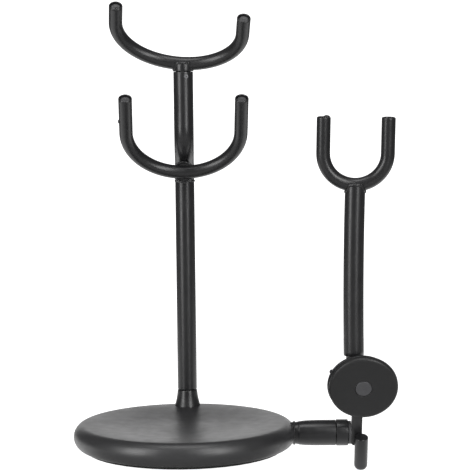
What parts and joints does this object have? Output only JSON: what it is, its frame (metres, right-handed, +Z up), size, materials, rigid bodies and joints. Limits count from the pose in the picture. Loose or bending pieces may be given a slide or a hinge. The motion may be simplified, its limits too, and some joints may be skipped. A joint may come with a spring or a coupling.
{
  "type": "eyeglasses display stand",
  "caption": "Black tube stand with a round weighted base, stacked U-shaped yokes on a rear post and a smaller yoke on a clamped side post.",
  "frame": {"origin": "centre of the round base's underside, on the surface it stands on", "axes": "+Z up, +X towards the side arm, -Y towards the front, where the yokes lean"},
  "size_m": [0.2612, 0.18, 0.3814],
  "materials": {
    "black_coat": "satin powder coat",
    "knob_plastic": "matte",
    "black_plastic": "satin",
    "zinc_steel": "dull zinc",
    "ballast_iron": "raw",
    "rubber": "matte"
  },
  "bodies": {
    "base": {"base_cover": "black_coat", "ballast_plate": "ballast_iron", "bottom_plate": "black_coat", "bottom_screw_1": "zinc_steel", "bottom_screw_2": "zinc_steel", "bottom_screw_3": "zinc_steel", "centre_foot": "rubber", "foot_ring": "rubber", "post_foot": "black_coat", "post_washer": "zinc_steel", "post_screw": "zinc_steel", "lower_post": "black_coat", "post_coupling": "zinc_steel", "upper_post": "black_coat", "yoke_grub_screw": "zinc_steel", "lower_yoke_boss": "black_coat", "lower_yoke": "black_coat", "lower_yoke_left_plug": "black_plastic", "lower_yoke_right_plug": "black_plastic", "arm_socket": "zinc_steel", "arm_sleeve": "black_coat"},
    "top_yoke": {"upper_yoke_spigot": "black_coat", "upper_yoke": "black_coat", "upper_yoke_left_plug": "black_plastic", "upper_yoke_right_plug": "black_plastic"},
    "arm": {"arm_core": "black_coat", "arm_lock_washer": "zinc_steel", "arm_lock_nut": "zinc_steel", "arm_collar": "black_coat", "collar_set_screw": "zinc_steel", "arm_spacer": "black_plastic", "clamp_lug": "black_coat", "friction_disc": "black_coat"},
    "knob": {"clamp_knob": "knob_plastic", "knob_screw": "zinc_steel"},
    "peg": {"drop_peg": "black_coat", "peg_screw": "zinc_steel"},
    "side_support": {"side_tang": "black_coat", "side_post": "black_coat", "side_yoke": "black_coat", "side_yoke_left_plug": "black_plastic", "side_yoke_right_plug": "black_plastic", "back_washer": "zinc_steel", "clamp_nut": "zinc_steel"}
  },
  "joints": [
    {"name": "top_yoke_swivel", "type": "hinge", "parent": "base", "child": "top_yoke", "pos_m": [0.0012, 0.044, 0.3], "axis": [0, 0, 1], "range_deg": [-180, 180]},
    {"name": "arm_swivel", "type": "hinge", "parent": "base", "child": "arm", "pos_m": [0.11, 0, 0.0114], "axis": [1, 0, 0], "range_deg": [-60, 60]},
    {"name": "side_post_tilt", "type": "hinge", "parent": "arm", "child": "side_support", "pos_m": [0.1435, -0.01806, 0.05609], "axis": [0, 0.9272, 0.3746], "range_deg": [-25, 90]},
    {"name": "knob_turn", "type": "hinge", "parent": "arm", "child": "knob", "pos_m": [0.1435, -0.01806, 0.05609], "axis": [0, 0.9272, 0.3746], "range_deg": [-180, 180]},
    {"name": "peg_slide", "type": "slide", "parent": "arm", "child": "peg", "axis": [0, -0.3746, 0.9272], "range_m": [0, 0.017]}
  ]
}
